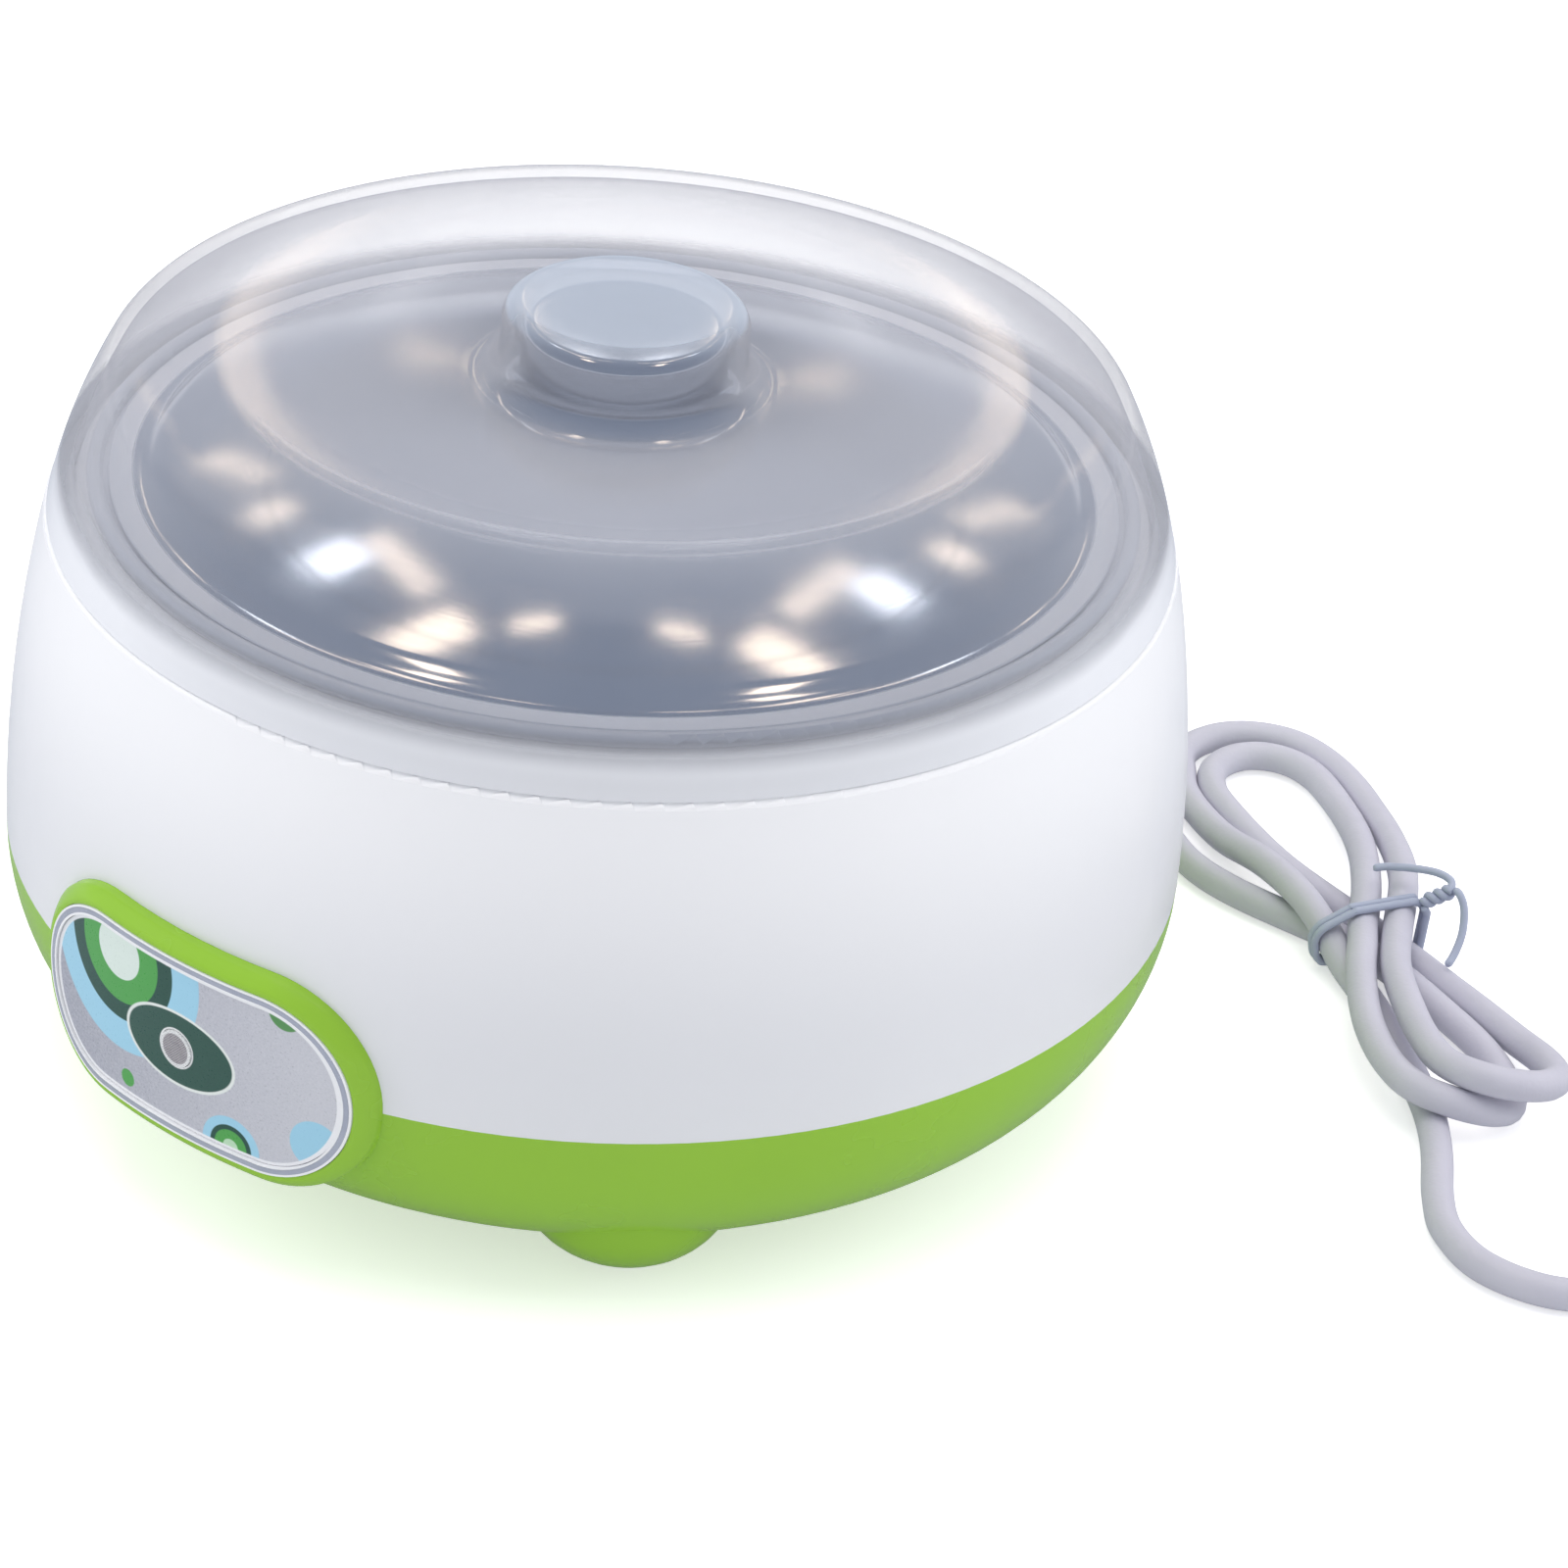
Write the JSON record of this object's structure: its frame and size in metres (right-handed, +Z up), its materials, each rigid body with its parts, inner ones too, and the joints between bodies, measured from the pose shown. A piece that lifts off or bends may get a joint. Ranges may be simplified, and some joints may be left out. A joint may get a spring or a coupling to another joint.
{
  "type": "yogurt maker",
  "caption": "Small electric yogurt maker: steel pot and lid in a heated body, under a frosted dome with a hollow knob, on a green base with a curved panel and a tied mains cord",
  "frame": {"origin": "on the table, under the middle of the body", "axes": "+Z up, -Y towards the control panel, +X to the right of the panel"},
  "size_m": [0.2625, 0.2564, 0.1204],
  "materials": {
    "outer_lid": "frosted translucent polypropylene",
    "pot_lid": "polished stainless steel sheet",
    "inner_pot": "polished stainless steel sheet",
    "body_shell": "glossy white moulding",
    "chamber_liner": "satin white moulding",
    "base_shell": "satin lime green moulding",
    "panel_frame": "silver painted moulding",
    "panel_label": "silver grey printed with green and blue circles",
    "indicator_lens": "ribbed smoked lens",
    "neon_lamp": "clear glass",
    "lamp_holder": "moulded",
    "heater_plate": "rolled sheet",
    "ptc_heater": "fired ceramic",
    "mica_sheets": "pressed mica",
    "heater_clamp": "zinc plated strip",
    "thermal_fuse": "tinned case",
    "terminal_block": "moulded nylon",
    "cord_clamp": "moulded nylon",
    "base_screws": "zinc plated",
    "plate_screws": "zinc plated",
    "heater_screws": "zinc plated",
    "clamp_screws": "zinc plated",
    "wiring": "silicone insulated wire",
    "foot_pads": "moulded",
    "rating_label": "blank silver sticker",
    "strain_relief": "moulded soft plastic",
    "cord_lead": "smooth light grey sheath",
    "cord_hank": "smooth light grey sheath",
    "cord_tie": "plastic covered wire",
    "cord_tail": "smooth light grey sheath",
    "plug_body": "moulded",
    "plug_pins": "nickel plated"
  },
  "bodies": {
    "body": {"body_shell": "body_shell", "chamber_liner": "chamber_liner", "base_shell": "base_shell", "panel_frame": "panel_frame", "panel_label": "panel_label", "indicator_lens": "indicator_lens", "neon_lamp": "neon_lamp", "lamp_holder": "lamp_holder", "heater_plate": "heater_plate", "ptc_heater": "ptc_heater", "mica_sheets": "mica_sheets", "heater_clamp": "heater_clamp", "thermal_fuse": "thermal_fuse", "terminal_block": "terminal_block", "cord_clamp": "cord_clamp", "base_screws": "base_screws", "plate_screws": "plate_screws", "heater_screws": "heater_screws", "clamp_screws": "clamp_screws", "wiring": "wiring", "foot_pads": "foot_pads", "rating_label": "rating_label", "strain_relief": "strain_relief", "cord_lead": "cord_lead", "cord_hank": "cord_hank", "cord_tie": "cord_tie", "cord_tail": "cord_tail", "plug_body": "plug_body", "plug_pins": "plug_pins"},
    "pot": {"inner_pot": "inner_pot"},
    "steel_lid": {"pot_lid": "pot_lid"},
    "cover": {"outer_lid": "outer_lid"}
  },
  "joints": [
    {"name": "inner_pot_lift", "type": "slide", "parent": "body", "child": "pot", "axis": [0, 0, 1], "range_m": [0, 0.09]},
    {"name": "pot_lid_lift", "type": "slide", "parent": "pot", "child": "steel_lid", "axis": [0, 0, 1], "range_m": [0, 0.06]},
    {"name": "outer_lid_lift", "type": "slide", "parent": "steel_lid", "child": "cover", "axis": [0, 0, 1], "range_m": [0, 0.06]}
  ]
}
